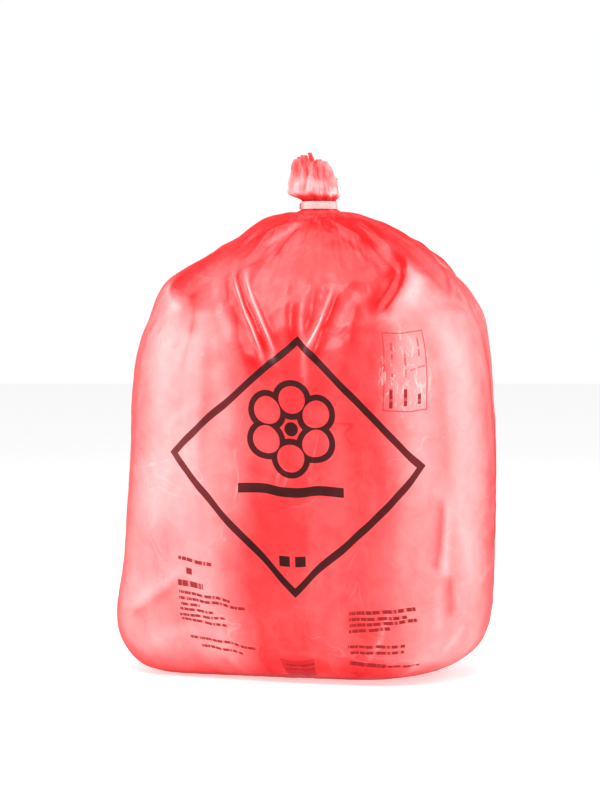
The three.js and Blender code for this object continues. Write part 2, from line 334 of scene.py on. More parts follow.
def neck_point(angle, share):
    ridge = 0.5 + 0.5 * math.cos(NECK_FOLDS * angle + 1.2 * math.sin(4 * angle))
    radius = NECK_RADIUS - NECK_FOLD_DEPTH * ridge
    height = NECK.z + NECK_HALF * (2 * share - 1)
    return Vector((NECK.x + radius * math.cos(angle), radius * math.sin(angle), height))


def tuft_point(angle, share, wall=0.0):
    number, valley = fold_at(angle)
    top = TUFT_HEIGHTS[number]
    notch = min(TUFT_HEIGHTS[(number + 1) % TUFT_FOLDS], top)
    tall = top + (notch - top) * smooth(0.6, 1, valley)
    height = tall * share
    spread = smooth(0, 10, height)
    depth = (1.2 + (0.2 + 0.36 * share) * along(TUFT_RADII, height) * spread) * valley ** 1.3
    flare = 3.5 * smooth(0.75, 1, share) * (1 - valley) * smooth(44, 28, tall)
    radius = max(1.5, along(TUFT_RADII, height) - depth + flare - wall / MM) * MM
    twist = angle + 0.25 * share * spread
    place = Vector((radius * math.cos(twist), TUFT_DEPTH ** spread * radius * math.sin(twist), height * MM))
    place.x += NECK.x + along(TUFT_LEANS, height) * MM
    place.z += NECK.z + NECK_HALF
    crumple = Vector((noise.noise(place * 90), noise.noise(place * 90 + Vector((7, 0, 0))), 0))
    return place + crumple * 3 * MM * spread


def make_film():
    """A flat sheet of film, wrapped round the solid and closed: its UV map holds the film's own metres."""
    tree = solid_tree()
    girth, angles = azimuths(tree)
    ways = [column_way(tree, angle) for angle in angles]
    points, lengths, foot = ways[COLUMNS // 2]
    front_wall = lengths[-1] - lengths[foot]
    front_level = along([(point.z, way) for point, way in zip(points, lengths)], PRINT_LEVEL)
    front_foot = PRINT_HEIGHT + lengths[foot] - front_level
    rows = BASE_ROWS + WALL_ROWS + NECK_ROWS + TUFT_ROWS + MOUTH_ROWS

    bm = bmesh.new()
    uv = bm.loops.layers.uv.verify()
    bmesh.ops.create_grid(bm, x_segments=COLUMNS, y_segments=rows, size=0.5, calc_uvs=True)
    hold = bm.verts.layers.deform.verify()

    def wrapped(column, row):
        angle = angles[column]
        points, lengths, foot = ways[column]
        if row <= BASE_ROWS:
            return point_at(points, lengths, lengths[foot] * max(0.02, row / BASE_ROWS)), 1.0
        row -= BASE_ROWS
        if row <= WALL_ROWS:
            way = lengths[foot] + (lengths[-1] - lengths[foot]) * row / WALL_ROWS
            return point_at(points, lengths, way), 0.0
        row -= WALL_ROWS
        if row <= NECK_ROWS:
            return neck_point(angle, row / NECK_ROWS), 1.0
        row -= NECK_ROWS
        if row <= TUFT_ROWS:
            return tuft_point(angle, row / TUFT_ROWS), 1.0
        row -= TUFT_ROWS
        floor = Vector((NECK.x - 7 * MM, 0, NECK.z + NECK_HALF + MOUTH_FLOOR))
        inner = tuft_point(angle, 1 - 0.7 * row / (MOUTH_ROWS - 1), MOUTH_WALL)
        return (floor.lerp(inner, 0.03) if row == MOUTH_ROWS else inner), 1.0

    def film_place(share, level):
        return (share - 0.5) * girth, front_foot + front_wall * (level * rows - BASE_ROWS) / WALL_ROWS

    for face in bm.faces:
        for loop in face.loops:
            share, level = loop[uv].uv
            loop[uv].uv = film_place(share, level)
    for vert in bm.verts:
        column = round((vert.co.x + 0.5) * COLUMNS)
        row = round((vert.co.y + 0.5) * rows)
        vert.co, vert[hold][0] = wrapped(column, row)
    bmesh.ops.remove_doubles(bm, verts=bm.verts, dist=0.02 * MM)
    bmesh.ops.recalc_face_normals(bm, faces=bm.faces)
    loose = [vert for vert in bm.verts if vert[hold][0] < 0.5]
    for _ in range(6):
        bmesh.ops.smooth_vert(bm, verts=loose, factor=0.5, use_axis_x=True, use_axis_y=True, use_axis_z=True)
    ripple(bm, loose)
    mesh = bpy.data.meshes.new("film")
    bm.to_mesh(mesh)
    bm.free()
    thing = new_object("film", mesh)
    thing.vertex_groups.new(name="hold")
    thing.vertex_groups.new(name="taut")
    return thing


def shoulder_share(place):
    """0 on the flanks and 1 from half way up the shoulders on."""
    return smooth(0.33, 0.47, place.z)


def ripple(bm, loose):
    """Lays the loose film over lumpy contents, and starts the ripples of its slack."""
    bm.normal_update()
    hold = bm.verts.layers.deform.verify()
    moves = []
    for vert in loose:
        angle = math.atan2(vert.co.y, vert.co.x - NECK.x)
        lump = noise.noise(vert.co * LUMPS_PER_METRE + Vector((3, 1, 8)))
        ring = Vector((math.cos(angle), math.sin(angle), vert.co.z * 2))
        pleat = noise.noise(ring * 9) + 0.6 * noise.noise(ring * 19)
        rough = noise.noise(vert.co * 45)
        shoulder = shoulder_share(vert.co)
        fade = smooth(0, 0.05, vert.co.z) * smooth(NECK.z - NECK_HALF, NECK.z - 0.05, vert.co.z)
        depth = LUMP_DEPTH * lump * (1 - 0.5 * shoulder)
        depth += PLEAT_START * (2.2 * pleat * shoulder + 0.5 * rough)
        moves.append(vert.normal * depth * fade)
        vert[hold][0] = BODY_HOLD + (SHOULDER_HOLD - BODY_HOLD) * shoulder
        vert[hold][1] = 1 - shoulder
    for vert, move in zip(loose, moves):
        vert.co += move


def settle(thing):
    """Lets the slack film fold, held softly by the contents, and firmly at the base, neck and tuft."""
    start = [vert.co.copy() for vert in thing.data.vertices]
    cloth = thing.modifiers.new("cloth", "CLOTH")
    film = cloth.settings
    film.quality = 6
    film.mass = 0.005
    film.air_damping = 4
    film.tension_stiffness = 40
    film.compression_stiffness = 40
    film.shear_stiffness = 12
    film.bending_stiffness = 0.12
    film.tension_damping = film.compression_damping = 12
    film.shear_damping = 8
    film.bending_damping = 1
    film.vertex_group_mass = "hold"
    film.pin_stiffness = 1
    film.vertex_group_shrink = "taut"
    film.shrink_min = -SHOULDER_SLACK
    film.shrink_max = -BODY_SLACK
    film.use_pressure = True
    film.uniform_pressure_force = 0.5
    film.effector_weights.gravity = 0
    cloth.collision_settings.use_collision = False
    scene = bpy.context.scene
    cloth.point_cache.frame_start = 1
    cloth.point_cache.frame_end = STEPS
    for step in range(1, STEPS + 1):
        scene.frame_set(step)
    thing = baked(thing, "film")
    scene.frame_set(1)
    for vert, place in zip(thing.data.vertices, start):
        move = vert.co - place
        if move.length > FILM_REACH:
            move = move.normalized() * FILM_REACH
        vert.co = place + move
        vert.co.z = max(0, vert.co.z)
    return thing


def close_ends(thing):
    """Draws the middle of the base and of the mouth's floor together, which leaves the film closed."""
    bm = bmesh.new()
    bm.from_mesh(thing.data)
    for low_end in (True, False):
        rim = [vert for vert in bm.verts if vert.is_boundary and (vert.co.z < HEART.z) == low_end]
        middle = sum((vert.co for vert in rim), Vector()) / len(rim)
        bmesh.ops.pointmerge(bm, verts=rim, merge_co=middle)
    bm.to_mesh(thing.data)
    bm.free()


def film_lines(mesh, folds):
    """The folds' lines in space, each in steps of at most 3 mm, from their places on the flat film."""
    corners = [Vector((*corner.uv, 0)) for corner in mesh.uv_layers[0].data]
    flat = BVHTree.FromPolygons(corners, [tuple(face.loop_indices) for face in mesh.polygons])

    def in_space(place):
        spot, _, index, _ = flat.find_nearest(Vector((place[0] * MM, place[1] * MM, 0)))
        face = mesh.polygons[index]
        ends = (0, 1, 2)
        if len(face.vertices) == 4:
            a, c, b = (corners[face.loop_indices[i]] for i in (0, 2, 1))
            side = (c - a).cross(spot - a).z * (c - a).cross(b - a).z
            ends = (0, 1, 2) if side > 0 else (0, 2, 3)
        film = [corners[face.loop_indices[i]] for i in ends]
        bag = [mesh.vertices[face.vertices[i]].co for i in ends]
        return geometry.barycentric_transform(spot, *film, *bag)

    lines = []
    for places, width, height in folds:
        line = []
        for before, after in zip(places, places[1:]):
            steps = max(1, round(math.dist(before, after) / 3))
            for step in range(steps):
                share = step / steps
                line.append([before[i] + (after[i] - before[i]) * share for i in (0, 1)])
        line.append(places[-1])
        for _ in range(6):
            threes = zip(line, line[1:], line[2:])
            middles = [[(a[i] + 2 * b[i] + c[i]) / 4 for i in (0, 1)] for a, b, c in threes]
            line = [line[0], *middles, line[-1]]
        lines.append([in_space(place) for place in line])
    return lines


def press_folds(thing, folds, solid_folds):
    """Raises or sinks the film along each fold, and keeps how far in an attribute, from which the colour
    paints each fold's light and shade.
    """
    mesh = thing.data
    lines = film_lines(mesh, folds + solid_folds)
    near = KDTree(len(mesh.vertices))
    for vert in mesh.vertices:
        near.insert(vert.co, vert.index)
    near.balance()
    rises = [0.0] * len(mesh.vertices)
    fold_shading = [0.0] * len(mesh.vertices)
    for number, (line, (_, width, height)) in enumerate(zip(lines, folds + solid_folds)):
        width = width * MM
        count = len(line) - 1
        best = {}
        for step, (start, end) in enumerate(zip(line, line[1:])):
            for place, index, _ in near.find_range((start + end) / 2, 2.4 * width + 3 * MM):
                spot, share = geometry.intersect_point_line(place, start, end)
                share = min(1, max(0, share))
                gap = (place - start.lerp(end, share)).length
                if index not in best or gap < best[index][0]:
                    best[index] = (gap, (step + share) / count)
        for index, (gap, way) in best.items():
            taper = smooth(0, 0.2, way) * smooth(1, 0.8, way)
            rise = height * MM * taper * math.exp(-(gap / width) ** 1.7)
            fold_shading[index] += rise * (4 * MM / width) ** 0.6
            rises[index] += rise if number < len(folds) else 0
    fold_shading_layer = mesh.attributes.new("fold", "FLOAT", "POINT")
    moves = [vert.normal * rise for vert, rise in zip(mesh.vertices, rises)]
    for vert, move, rise in zip(mesh.vertices, moves, fold_shading):
        vert.co += move
        vert.co.z = max(0, vert.co.z)
        fold_shading_layer.data[vert.index].value = min(1, max(-1, rise / FOLD_SHADING_RISE))


def finish_surface(thing):
    subdivide = thing.modifiers.new("round", "SUBSURF")
    subdivide.levels = subdivide.render_levels = 1
    thing = baked(thing, "film_bag")
    press_folds(thing, FACE_FOLDS + ROUND_FOLDS, SOLID_FOLDS)
    close_ends(thing)
    thing.data.shade_smooth()
    return thing


# Materials

class Bench:
    """A node tree, with short ways to place its nodes and join them."""

    def __init__(self, tree):
        self.tree = tree

    def feed(self, socket, value):
        if isinstance(value, bpy.types.NodeSocket):
            self.tree.links.new(value, socket)
        else:
            socket.default_value = value

    def node(self, kind, inputs=None, **settings):
        made = self.tree.nodes.new(kind)
        for name, value in settings.items():
            setattr(made, name, value)
        for name, value in (inputs or {}).items():
            self.feed(made.inputs[name], value)
        return made

    def math(self, operation, *values):
        made = self.tree.nodes.new("ShaderNodeMath")
        made.operation = operation
        for socket, value in zip(made.inputs, values):
            self.feed(socket, value)
        return made.outputs[0]

    def product(self, *values):
        result = values[0]
        for value in values[1:]:
            result = self.math("MULTIPLY", result, value)
        return result

    def sum(self, *values):
        result = values[0]
        for value in values[1:]:
            result = self.math("ADD", result, value)
        return result

    def vector(self, operation, *values):
        made = self.node("ShaderNodeVectorMath", dict(enumerate(values)), operation=operation)
        return made.outputs[0]

    def step(self, value, low, high):
        """0 below low and 1 above high, or the other way round where low is the larger."""
        made = self.node("ShaderNodeMapRange", {"Value": value, "From Min": low, "From Max": high},
                         interpolation_type="SMOOTHSTEP")
        if low > high:
            self.feed(made.inputs["From Min"], high)
            self.feed(made.inputs["From Max"], low)
            self.feed(made.inputs["To Min"], 1)
            self.feed(made.inputs["To Max"], 0)
        return made.outputs["Result"]

    def noise(self, place, scale, detail=2, rough=0.5, distortion=0.0):
        inputs = {"Vector": place, "Scale": scale, "Detail": detail, "Roughness": rough,
                  "Distortion": distortion}
        return self.node("ShaderNodeTexNoise", inputs).outputs["Fac"]

    def stretched(self, place, scale, turn=0.0):
        inputs = {"Vector": place, "Scale": scale, "Rotation": (0, 0, turn)}
        return self.node("ShaderNodeMapping", inputs).outputs["Vector"]

    def split(self, place):
        return self.node("ShaderNodeSeparateXYZ", {"Vector": place}).outputs

    def ramp(self, value, stops):
        made = self.node("ShaderNodeValToRGB", {"Fac": value})
        stripe = made.color_ramp.elements
        while len(stripe) < len(stops):
            stripe.new(0.5)
        for element, (place, color) in zip(stripe, stops):
            element.position = place
            element.color = (*color, 1)
        return made.outputs["Color"]

    def mix(self, share, first, second):
        made = self.tree.nodes.new("ShaderNodeMix")
        made.data_type = "RGBA"
        for socket, value in zip((made.inputs[0], made.inputs[6], made.inputs[7]), (share, first, second)):
            self.feed(socket, value)
        return made.outputs[2]


def group(name, inputs, outputs):
    """A new node group: its bench, what comes in, and what goes out."""
    tree = bpy.data.node_groups.new(name, "ShaderNodeTree")
    kinds = {"number": "NodeSocketFloat", "vector": "NodeSocketVector", "color": "NodeSocketColor"}
    for label, kind in inputs:
        tree.interface.new_socket(label, in_out="INPUT", socket_type=kinds[kind])
    for label, kind in outputs:
        tree.interface.new_socket(label, in_out="OUTPUT", socket_type=kinds[kind])
    bench = Bench(tree)
    return bench, bench.node("NodeGroupInput").outputs, bench.node("NodeGroupOutput").inputs


def make_haze():
    """The cloudy, faintly scuffed skin of thin plastic: a height for its bump, and an uneven gloss."""
    bench, given, result = group("plastic_skin", [("Place", "vector"), ("Grain", "number")],
                                 [("Height", "number"), ("Gloss", "number")])
    grain = given["Grain"]
    cloudy = bench.noise(given["Place"], grain, 4, 0.6)
    drawn = bench.noise(bench.stretched(given["Place"], (1, 1, 0.12)), bench.product(grain, 3.0), 3)
    fine = bench.noise(given["Place"], bench.product(grain, 9.0), 2)
    height = bench.math("ADD", bench.product(cloudy, 0.7), bench.product(drawn, 0.3))
    bench.feed(result["Height"], bench.math("ADD", height, bench.product(fine, 0.05)))
    bench.feed(result["Gloss"], bench.math("ADD", bench.product(cloudy, 0.6), bench.product(fine, 0.4)))
    return bench.tree


def along_and_across(bench, given):
    """How far a place lies along a stroke or crease from its middle, and how far to its left."""
    turned = bench.node("ShaderNodeVectorRotate", {
        "Vector": given["Place"], "Center": given["Middle"], "Angle": bench.product(given["Turn"], -1.0)},
        rotation_type="Z_AXIS").outputs["Vector"]
    x, y, _ = bench.split(bench.vector("SUBTRACT", turned, given["Middle"]))
    return x, y


def line_inputs(place, start, end):
    """What a stroke's or crease's group needs, from its two ends in the film's mm."""
    middle = [(a + b) / 2 * MM for a, b in zip(start, end)]
    return {"Place": place, "Middle": (*middle, 0), "Length": math.dist(start, end) * MM,
            "Turn": math.atan2(end[1] - start[1], end[0] - start[0])}


def make_stroke():
    """One printed stroke: a bar on the film, broken up along its length as far as its breaks say."""
    bench, given, result = group(
        "printed_stroke",
        [("Place", "vector"), ("Middle", "vector"), ("Turn", "number"), ("Length", "number"),
         ("Height", "number"), ("Breaks", "number")],
        [("Mask", "number")])
    x, y = along_and_across(bench, given)
    half_length = bench.product(given["Length"], 0.5)
    half_height = bench.product(given["Height"], 0.5)
    past_end = bench.math("SUBTRACT", bench.math("ABSOLUTE", x), half_length)
    past_side = bench.math("SUBTRACT", bench.math("ABSOLUTE", y), half_height)
    in_length = bench.step(past_end, STROKE_BLUR, -STROKE_BLUR)
    in_height = bench.step(past_side, STROKE_BLUR, -STROKE_BLUR)
    uneven = bench.node("ShaderNodeTexNoise", {"W": x, "Scale": BREAKS_SCALE, "Detail": 1.0},
                        noise_dimensions="1D").outputs["Fac"]
    gap = bench.product(given["Breaks"], bench.step(uneven, 0.49, 0.41))
    bench.feed(result["Mask"], bench.product(in_length, in_height, bench.math("SUBTRACT", 1.0, gap)))
    return bench.tree


# Sharp creases of the face's film, painted as light and shade, in its own mm: start, end, width, how far it
# bows to its left, and how bright it is, with painted highlight and partly whitened film. Below 0 it is deep,
# a painted shade. Each fades out on its left side, and is sharp on its right.
CREASES = (
    ((-136, 497), (-54, 398), 3.6, 6.5, 0.55),
    ((-114, 500), (-40, 404), 3.4, 6.0, 0.5),
    ((-65, 394), (-128, 484), 7.5, -6.0, -0.42),
    ((20, 464), (-4, 420), 2.8, 1.0, 0.5),
    ((4, 412), (24, 450), 3.4, -1.0, -0.5),
    ((84, 452), (196, 526), 19.0, -1.0, -0.8),
    ((-2, 608), (122, 540), 19.0, 3.0, -0.7),
)


# The print, in the film's own mm: a diamond band, a rosette, plain bars, a ruled panel and rows of broken
# strokes. It is a plain pattern without letters or signs.
STROKE_BLUR = 0.28 * MM
BREAKS_SCALE = 240.0
BAND_MIDDLE = (-13.5, 285)
BAND_HALF = (153.5, 148.5)
BAND_WIDTH = 8
ROSETTE_MIDDLE = (-18.5, 327)
PETALS = 6
PETAL_WAY = 33  # from the rosette's middle to a petal's
PETAL_RADIUS = 19
PETAL_LINE = 7
HUB_RADIUS = 8
PANEL_MIDDLE = (119.2, 390.5)
PANEL_SIZE = (54, 86)
PANEL_TURN = -0.075
PANEL_LINE = 1.5
# start, end and height of each stroke, and how broken it is
BOLD_STROKES = (
    ((-79, 254), (42, 257.5), 11, 0.0),
    ((-31, 177.5), (-19, 177.8), 12, 0.0),
    ((-13, 177.9), (-1, 178.2), 12, 0.0),
)
FINE_STROKES = (
    ((-157.4, 171), (-113, 164.4), 4.3, 0.65),
    ((-149.1, 156.2), (-141.5, 155.2), 7.5, 0.0),
    ((-162.9, 142.5), (-130.4, 139.1), 7.0, 0.5),
    ((-164.6, 131.9), (-97.2, 123.9), 3.6, 0.65),
    ((-166.8, 124.7), (-78, 115.8), 3.6, 0.65),
    ((-166.1, 117.7), (-140.9, 115.4), 3.4, 0.65),
    ((-169.2, 111.9), (-123.4, 108), 3.4, 0.65),
    ((-171.6, 104.9), (-109.7, 100.6), 3.4, 0.65),
    ((-170.8, 100), (-109.8, 91.6), 3.4, 0.65),
    ((-169.8, 77.5), (-75.4, 64.2), 3.6, 0.65),
    ((-159.2, 65.8), (-100.2, 56.1), 3.6, 0.65),
    ((46.2, 122.6), (114, 133.6), 4.1, 0.65),
    ((46.3, 115.8), (104, 124.3), 3.8, 0.65),
    ((46.4, 108.8), (115.4, 121.7), 3.8, 0.65),
    ((46.6, 101.7), (87, 110.3), 3.8, 0.65),
    ((46.5, 83.1), (103.4, 91), 3.8, 0.65),
    ((49.4, 75.7), (103.7, 83.4), 3.8, 0.65),
    ((51, 61.2), (90, 62.2), 6.5, 0.3),
    ((90, 62.0), (128.7, 63.2), 3.8, 0.65),
    ((-34, 48), (8, 51), 2.6, 0.5),
    ((-36, 39), (8, 42), 2.4, 0.6),
    ((98.6, 351.5), (99.6, 373), 4.2, 0.3),
    ((116.6, 353.5), (117.6, 372), 4.2, 0.3),
    ((134.2, 353), (134.8, 364), 4.0, 0.2),
)
FAINT_STROKES = (
    ((103.4, 405), (104.6, 424), 2.4, 0.9),
    ((102.0, 380), (102.6, 390), 2.4, 0.9),
    ((118.6, 385), (120.4, 410), 2.6, 0.7),
    ((138.6, 404), (140.4, 426), 2.2, 0.9),
    ((125, 391), (146, 393), 1.4, 0.8),
    ((-40, 37), (9, 41), 37, 0.0),
)


def make_crease():
    """One sharp crease, painted: a bright ridge of painted highlight that fades away to its left, with a
    painted shadow along its sharp right side.
    """
    bench, given, result = group(
        "film_crease_shading",
        [("Place", "vector"), ("Middle", "vector"), ("Turn", "number"), ("Length", "number"),
         ("Width", "number"), ("Bow", "number")],
        [("Tone", "number")])
    x, y = along_and_across(bench, given)
    share = bench.math("DIVIDE", x, bench.product(given["Length"], 0.5))
    bow = bench.product(given["Bow"], bench.math("SUBTRACT", 1.0, bench.product(share, share)))
    y = bench.math("DIVIDE", bench.math("SUBTRACT", y, bow), given["Width"])
    taper = bench.step(bench.math("ABSOLUTE", share), 1.0, 0.5)
    ridge = bench.product(bench.step(y, -0.3, 0.15), bench.step(y, 1.4, 0.1))
    shadow = bench.product(bench.step(y, -1.8, -0.3), bench.step(y, 0.1, -0.3), 0.36)
    bench.feed(result["Tone"], bench.product(taper, bench.math("SUBTRACT", ridge, shadow)))
    return bench.tree


def make_creases():
    """All the sharp creases of the film's face, as painted light and shade: above 0 where they are painted
    bright, and below it where painted deep.
    """
    bench, given, result = group("face_crease_shading", [("Place", "vector")], [("Tone", "number")])
    crease = make_crease()
    tone = 0.0
    for start, end, width, bow, strength in CREASES:
        inputs = {**line_inputs(given["Place"], start, end), "Width": width * MM, "Bow": bow * MM}
        made = bench.node("ShaderNodeGroup", node_tree=crease)
        for name, value in inputs.items():
            bench.feed(made.inputs[name], value)
        tone = bench.math("MULTIPLY_ADD", made.outputs["Tone"], strength, tone)
    bench.feed(result["Tone"], tone)
    return bench.tree


def make_print():
    """Where the film carries ink: the dark print, the fine red print, and the faint."""
    bench, given, result = group("face_print", [("Place", "vector")],
                                 [("Dark", "number"), ("Fine", "number"), ("Faint", "number")])
    stroke = make_stroke()

    def offset(middle, turn=0.0):
        inputs = {"Vector": given["Place"], "Location": (middle[0] * MM, middle[1] * MM, 0),
                  "Rotation": (0, 0, turn)}
        return bench.node("ShaderNodeMapping", inputs, vector_type="TEXTURE").outputs["Vector"]

    def inked(strokes):
        marks = []
        for start, end, height, breaks in strokes:
            inputs = {**line_inputs(given["Place"], start, end), "Height": height * MM, "Breaks": breaks}
            made = bench.node("ShaderNodeGroup", node_tree=stroke)
            for name, value in inputs.items():
                bench.feed(made.inputs[name], value)
            marks.append(made.outputs["Mask"])
        while len(marks) > 1:
            marks = [bench.math("MAXIMUM", *marks[i:i + 2]) if i + 1 < len(marks) else marks[i]
                     for i in range(0, len(marks), 2)]
        return marks[0]

    def line(distance, width):
        gap = bench.math("SUBTRACT", bench.math("ABSOLUTE", distance), width * MM / 2)
        return bench.step(gap, 0.35 * MM, -0.35 * MM)

    x, y, _ = bench.split(offset(BAND_MIDDLE))
    spread = 1 / math.hypot(1 / BAND_HALF[0], 1 / BAND_HALF[1]) * MM
    x = bench.math("DIVIDE", bench.math("ABSOLUTE", x), BAND_HALF[0] * MM)
    y = bench.math("DIVIDE", bench.math("ABSOLUTE", y), BAND_HALF[1] * MM)
    edge = bench.product(bench.math("SUBTRACT", bench.math("ADD", x, y), 1.0), spread)
    band = line(bench.math("ADD", edge, BAND_WIDTH * MM / 2), BAND_WIDTH)

    x, y, _ = bench.split(offset(ROSETTE_MIDDLE))
    away = bench.math("SQRT", bench.sum(bench.product(x, x), bench.product(y, y)))
    share = bench.math("PINGPONG", bench.math("ARCTAN2", x, y), math.pi / PETALS)
    across = bench.product(away, bench.math("SINE", share))
    along_petal = bench.math("SUBTRACT", bench.product(away, bench.math("COSINE", share)), PETAL_WAY * MM)
    from_petal = bench.sum(bench.product(across, across), bench.product(along_petal, along_petal))
    ring = bench.math("SQRT", from_petal)
    petals = line(bench.math("SUBTRACT", ring, PETAL_RADIUS * MM), PETAL_LINE)
    hub = bench.step(away, (HUB_RADIUS + 0.3) * MM, (HUB_RADIUS - 0.3) * MM)
    rosette = bench.math("MAXIMUM", petals, hub)
    dark = bench.math("MAXIMUM", bench.math("MAXIMUM", band, rosette), inked(BOLD_STROKES))

    x, y, _ = bench.split(offset(PANEL_MIDDLE, PANEL_TURN))
    x = bench.math("SUBTRACT", bench.math("ABSOLUTE", x), PANEL_SIZE[0] / 2 * MM)
    y = bench.math("SUBTRACT", bench.math("ABSOLUTE", y), PANEL_SIZE[1] / 2 * MM)
    panel = line(bench.math("MAXIMUM", x, y), PANEL_LINE)
    bench.feed(result["Dark"], dark)
    bench.feed(result["Fine"], inked(FINE_STROKES))
    bench.feed(result["Faint"], bench.math("MAXIMUM", panel, inked(FAINT_STROKES)))
    return bench.tree


def material(name):
    made = bpy.data.materials.new(name)
    made.use_nodes = True
    tree = made.node_tree
    return made, Bench(tree), tree.nodes["Principled BSDF"]


HALF_GIRTH = 0.6  # half way round the film, in metres
FILM_PALENESS = 0.25  # of the bag's middle, of 1
# the tuft's painted highlight, of light through its thin film
TUFT_HIGHLIGHT = 0.36
# painted highlight on the folds' ridges, and painted shade in their grooves
RIDGE_HIGHLIGHT = 0.6
GROOVE_SHADE = 0.4
GLINT_COLOR = (0.95, 0.62, 0.58, 1)
FAINT_INK = (0.5, 0.002, 0.012, 1)
FINE_INK = (0.3, 0.0, 0.003, 1)


def film_material(skin, face_crease_shading, face_print):
    """Thin red film, with painted light and shade: painted highlights pale its flanks, its tuft and the
    ridges of its folds and creases, and painted shade deepens their grooves.
    """
    made, bench, shader = material("red_film")
    place = bench.node("ShaderNodeTexCoord").outputs["Object"]
    film_place = bench.node("ShaderNodeUVMap").outputs["UV"]
    around, up, _ = bench.split(film_place)
    fold = bench.node("ShaderNodeAttribute", attribute_name="fold").outputs["Fac"]

    # how pale the film is, by where it lies on the bag: a painted highlight lightens each flank
    side = bench.math("ABSOLUTE", around)
    side = bench.math("MINIMUM", side, bench.math("SUBTRACT", HALF_GIRTH, side))
    flank_highlight = bench.product(bench.step(side, 0.055, 0.145), bench.math("SUBTRACT", 1.0, bench.product(
        bench.step(side, 0.19, 0.27), 0.5)))
    between = bench.product(bench.step(up, 0.53, 0.42), bench.step(up, 0.0, 0.07))
    # streaks of random tone run down from the neck, as the loose film's pleats do, and paint the pleats'
    # light and shade
    from_neck = bench.vector("SUBTRACT", place, (NECK.x, 0, 0))
    outward = bench.vector("NORMALIZE", bench.stretched(from_neck, (1, 1, 0)))
    height_only = bench.stretched(place, (0, 0, 1.1))
    ring = bench.vector("ADD", outward, height_only)
    streaks_and_pleat_shading = bench.noise(ring, 3.6, 2, 0.45, 0.15)
    patches = bench.noise(place, 7.0, 3, 0.5, 0.3)
    # a painted highlight, of light through the thin film, pales the tuft, most at its foot above the tie
    tuft = bench.step(up, 0.672, 0.69)
    pale = bench.sum(bench.product(flank_highlight, between, 0.5), FILM_PALENESS)
    streaky = bench.sum(0.34, bench.product(bench.step(up, 0.36, 0.5), 0.28))
    pale = bench.sum(pale, bench.product(bench.math("SUBTRACT", streaks_and_pleat_shading, 0.5), streaky))
    pale = bench.sum(pale, bench.product(bench.math("SUBTRACT", patches, 0.5), 0.22))
    # darker towards the top of the shoulders, and a little darker at the very base
    pale = bench.math("SUBTRACT", pale, bench.product(bench.step(up, 0.48, 0.6), 0.12))
    pale = bench.math("SUBTRACT", pale, bench.product(bench.step(up, 0.08, 0.03), 0.03))
    pale = bench.sum(pale, bench.product(tuft, TUFT_HIGHLIGHT))
    tuft_foot_highlight = bench.product(bench.step(up, 0.67, 0.695), bench.step(up, 0.75, 0.7), 0.4)
    pale = bench.sum(pale, tuft_foot_highlight)
    crinkles = bench.noise(bench.stretched(place, (1, 1, 0.35)), 150.0, 2, 0.6)
    pale = bench.sum(pale, bench.product(tuft, bench.math("SUBTRACT", crinkles, 0.5), 1.2))
    # wide patches of painted light and painted shade
    for (middle_around, middle_up), (half_width, half_height), strength in LIGHT_AND_SHADE_PATCHES:
        x = bench.math("DIVIDE", bench.math("SUBTRACT", around, middle_around * MM), half_width * MM)
        y = bench.math("DIVIDE", bench.math("SUBTRACT", up, middle_up * MM), half_height * MM)
        away = bench.sum(bench.product(x, x), bench.product(y, y))
        pale = bench.sum(pale, bench.product(bench.step(away, 1.3, 0.0), strength))
    # painted highlights on the folds' ridges, and painted shade in their grooves
    pale = bench.sum(pale, bench.product(bench.math("MAXIMUM", fold, 0.0), RIDGE_HIGHLIGHT))
    pale = bench.sum(pale, bench.product(bench.math("MINIMUM", fold, 0.0), GROOVE_SHADE))
    # the creases' painted highlights and painted shade, on the face only
    crease_shading_node = bench.node("ShaderNodeGroup", node_tree=face_crease_shading)
    bench.feed(crease_shading_node.inputs["Place"], film_place)
    crease_shading = bench.product(crease_shading_node.outputs["Tone"], bench.step(side, 0.3, 0.29))
    pale = bench.sum(pale, crease_shading)
    # fine wrinkles all over, painted as light and shade: some with a painted highlight and some with painted
    # shade
    wavy = bench.noise(place, 16.0, 3, 0.55)
    winding = bench.noise(bench.stretched(place, (1, 1, 0.7)), 11.0, 2, 0.5, 1.3)
    line = bench.step(bench.math("ABSOLUTE", bench.math("SUBTRACT", winding, 0.5)), 0.012, 0.0)
    wrinkle_shading = bench.product(line, bench.math("SUBTRACT", wavy, 0.47))
    pale = bench.sum(pale, bench.product(wrinkle_shading, 0.8))
    mottle = bench.math("SUBTRACT", bench.noise(place, 34.0, 5, 0.62, 0.6), 0.5)
    pale = bench.sum(pale, bench.product(mottle, 0.3))
    film = bench.ramp(pale, [
        (0.0, (0.66, 0.0015, 0.004)),
        (0.22, (0.83, 0.028, 0.032)),
        (0.5, (0.88, 0.13, 0.135)),
        (0.85, (0.92, 0.36, 0.36)),
        (1.0, (0.94, 0.5, 0.49)),
    ])

    # the film round the ruled panel is crumpled, with painted glints, and partly whitened film, along its
    # sharp creases
    x = bench.product(bench.math("SUBTRACT", around, PANEL_MIDDLE[0] * MM), 1 / (38 * MM))
    y = bench.product(bench.math("SUBTRACT", up, PANEL_MIDDLE[1] * MM), 1 / (52 * MM))
    creased = bench.step(bench.sum(bench.product(x, x), bench.product(y, y)), 1.2, 0.2)
    glints = bench.noise(bench.stretched(film_place, (1, 0.4, 1)), 110.0, 3, 0.6, 1.6)
    glint = bench.product(creased, bench.step(glints, 0.53, 0.66), 0.75)
    film = bench.mix(glint, film, GLINT_COLOR)

